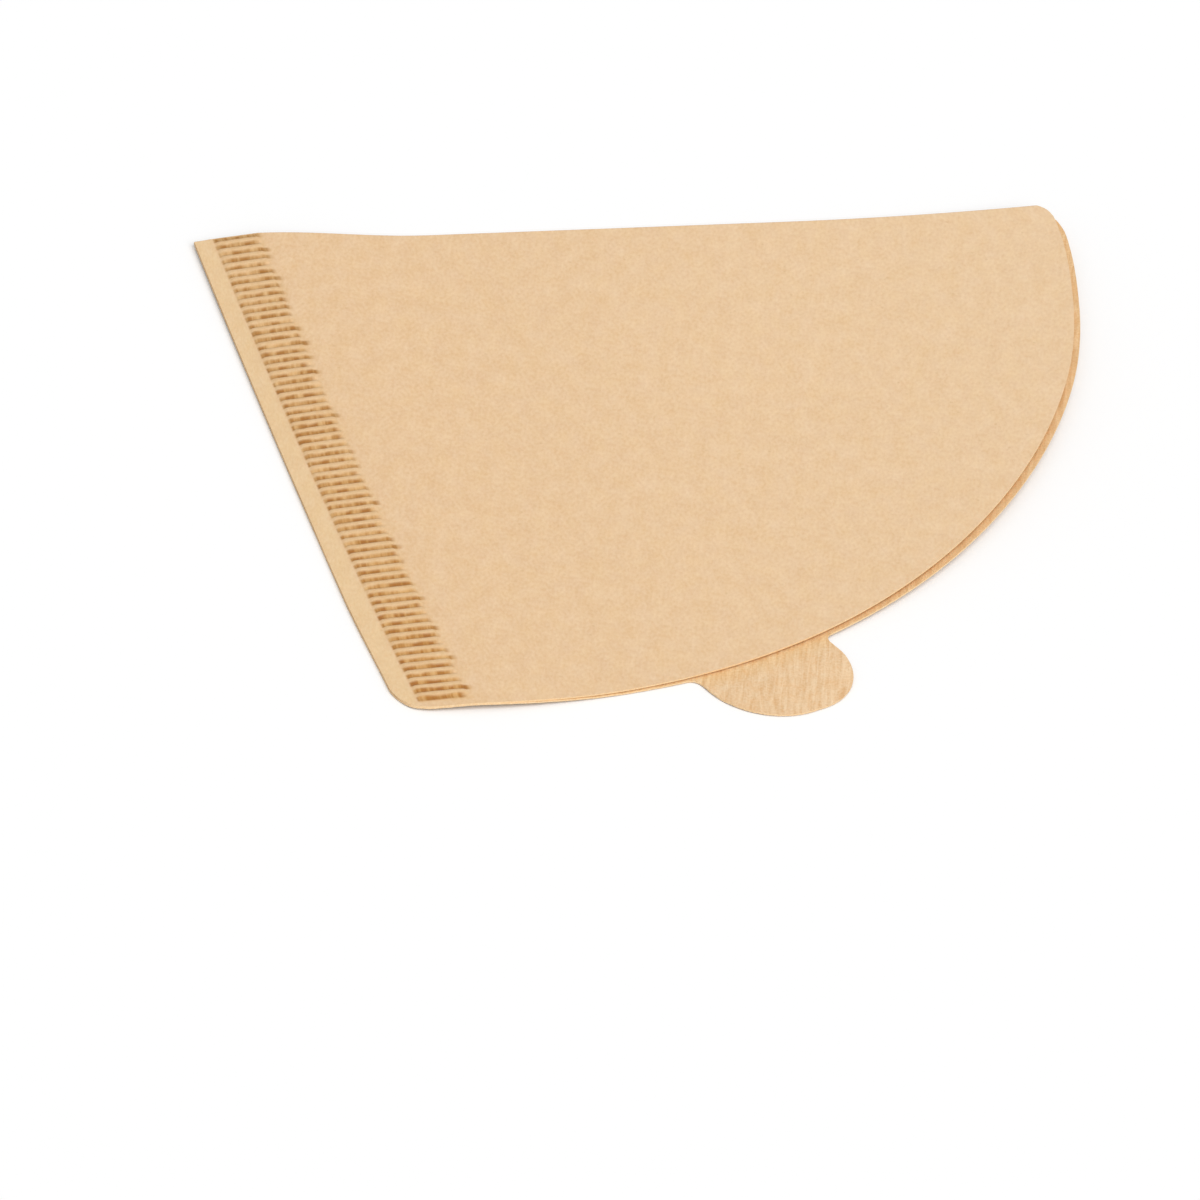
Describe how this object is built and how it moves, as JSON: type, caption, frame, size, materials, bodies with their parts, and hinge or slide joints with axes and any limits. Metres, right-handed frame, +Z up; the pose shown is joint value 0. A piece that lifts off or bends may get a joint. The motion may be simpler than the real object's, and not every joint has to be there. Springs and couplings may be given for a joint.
{
  "type": "paper coffee filter",
  "caption": "Flat-folded cone filter of unbleached paper: a quarter circle with a crimped seam along one straight side and a pull tab on the rim.",
  "frame": {"origin": "middle of the sheet's bounding box, on the flat face it lies on", "axes": "+Z up out of the sheet, +X along the fold from the tip to the rim, +Y across the sheet towards the fold"},
  "size_m": [0.1238, 0.1172, 0.0014],
  "materials": {
    "kraft_paper": "matt, creped, unbleached"
  },
  "bodies": {
    "root": {"paper_filter": "kraft_paper"}
  },
  "joints": []
}
